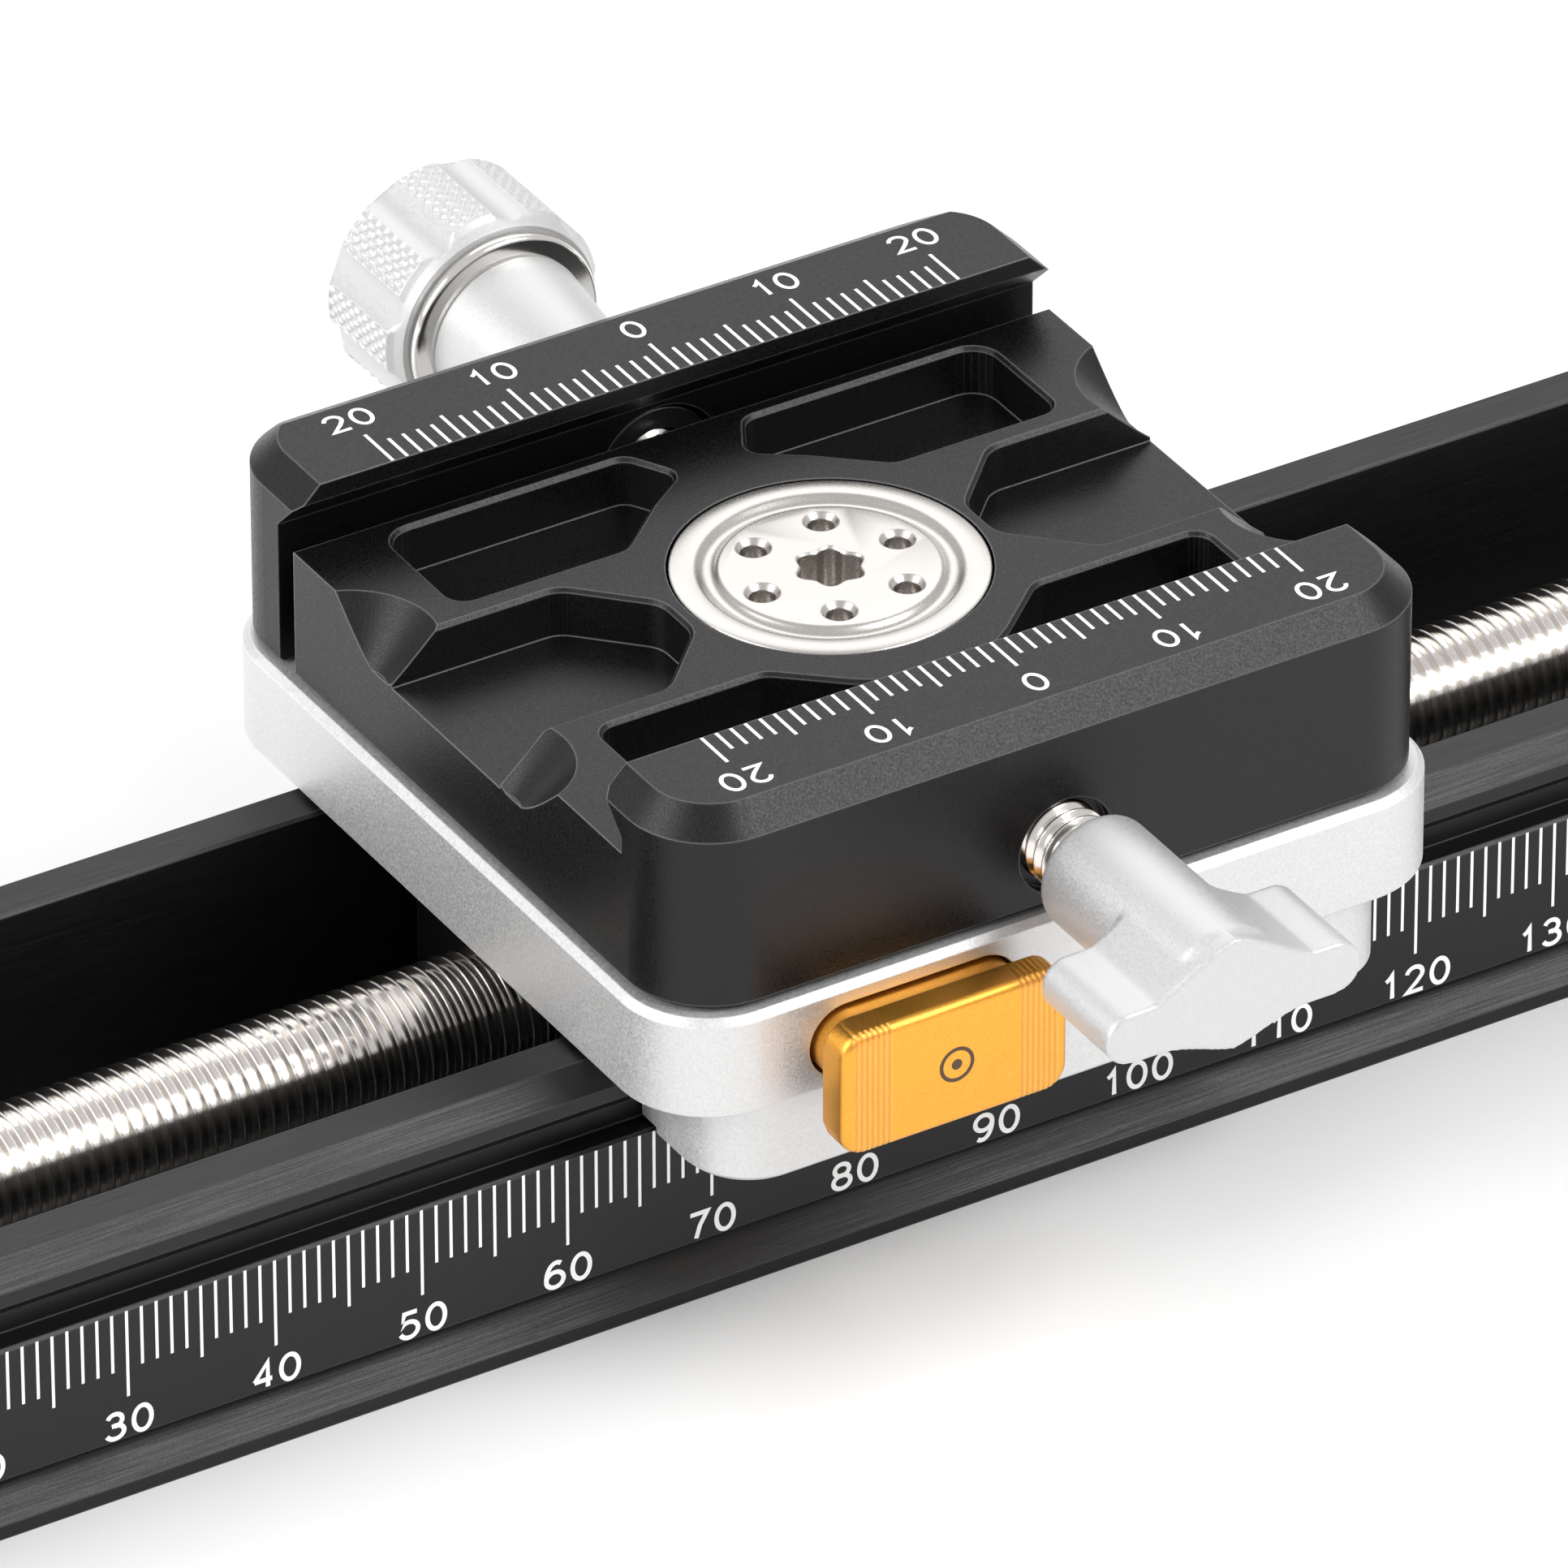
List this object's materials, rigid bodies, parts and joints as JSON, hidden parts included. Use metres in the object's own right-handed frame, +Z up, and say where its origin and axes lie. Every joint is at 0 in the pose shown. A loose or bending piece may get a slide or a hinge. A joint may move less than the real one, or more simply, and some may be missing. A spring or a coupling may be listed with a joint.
{
  "type": "macro focusing rail",
  "caption": "Screw-driven macro focusing rail: a grooved dovetail rail carries a quick-release carriage with a panning screw clamp for camera plates.",
  "frame": {"origin": "middle of the foot's underside, on the axis of the large tripod socket", "axes": "+X along the rail towards the drive knob, +Y towards the clamp knob, +Z up"},
  "size_m": [0.2362, 0.0936, 0.0393],
  "materials": {
    "black_anodised": "fine bead-blasted, black anodised",
    "silver_anodised": "fine bead-blasted, clear anodised",
    "orange_anodised": "satin, orange anodised",
    "steel": "turned, bright",
    "dark_steel": "blackened",
    "brass": "machined",
    "rubber": "matte",
    "polymer": "smooth, low friction"
  },
  "bodies": {
    "rail": {"rail_extrusion": "black_anodised", "end_plate_left": "black_anodised", "end_plate_right": "black_anodised", "end_screws": "dark_steel", "bush_left": "brass", "bush_right": "brass", "bumpers": "rubber", "tripod_insert": "steel", "screw_cap": "black_anodised"},
    "screw": {"lead_screw": "steel", "thrust_washers": "brass", "retaining_clip": "dark_steel", "drive_knob": "silver_anodised", "knob_set_screw": "dark_steel"},
    "carriage": {"carriage_plate": "silver_anodised", "glide_strips": "polymer", "gib_strip": "brass", "gib_screws": "dark_steel", "nut_housing": "black_anodised", "housing_screws": "dark_steel", "hub_axle": "steel", "hub_washer": "polymer"},
    "button": {"release_button": "orange_anodised"},
    "nut": {"half_nut": "brass", "nut_springs": "steel"},
    "clamp": {"clamp_body": "black_anodised"},
    "brake": {"brake_pad": "brass"},
    "wing": {"wing_knob": "silver_anodised", "wing_stud": "steel"},
    "jaw": {"moving_jaw": "black_anodised", "guide_pins": "steel"},
    "knob": {"clamp_knob": "silver_anodised", "clamp_stud": "steel", "knob_ring": "steel", "stud_clip": "dark_steel"}
  },
  "joints": [
    {"name": "screw_turn", "type": "hinge", "parent": "rail", "child": "screw", "pos_m": [0, 0, 0.01125], "axis": [1, 0, 0], "range_deg": [-25920, 25920]},
    {"name": "carriage_slide", "type": "slide", "parent": "rail", "child": "carriage", "axis": [1, 0, 0], "range_m": [-0.072, 0.072]},
    {"name": "button_press", "type": "slide", "parent": "carriage", "child": "button", "axis": [0, 1, 0], "range_m": [0, 0.0015], "stiffness_N_per_m": 500, "springref_m": -0.002},
    {"name": "nut_lift", "type": "slide", "parent": "carriage", "child": "nut", "axis": [0, 0, 1], "range_m": [0, 0.00075], "deforming": ["nut_springs"]},
    {"name": "clamp_pan", "type": "hinge", "parent": "carriage", "child": "clamp", "pos_m": [0, 0, 0.03], "axis": [0, 0, 1], "continuous": true},
    {"name": "jaw_slide", "type": "slide", "parent": "clamp", "child": "jaw", "axis": [0, 1, 0], "range_m": [-0.0015, 0.004]},
    {"name": "knob_turn", "type": "hinge", "parent": "jaw", "child": "knob", "pos_m": [0, 0.045, 0.0311], "axis": [0, 1, 0], "range_deg": [-540, 1440]},
    {"name": "brake_slide", "type": "slide", "parent": "clamp", "child": "brake", "axis": [0, -1, 0], "range_m": [0, 0.0008]},
    {"name": "wing_turn", "type": "hinge", "parent": "brake", "child": "wing", "pos_m": [0, -0.04, 0.02975], "axis": [0, -1, 0], "range_deg": [0, 360]}
  ],
  "couplings": [
    {"joint": "screw_turn", "follows": "carriage_slide", "rad_per_m": -6283.2},
    {"joint": "nut_lift", "follows": "button_press", "ratio": 0.5},
    {"joint": "knob_turn", "follows": "jaw_slide", "rad_per_m": 6283.2},
    {"joint": "wing_turn", "follows": "brake_slide", "rad_per_m": 7854}
  ]
}
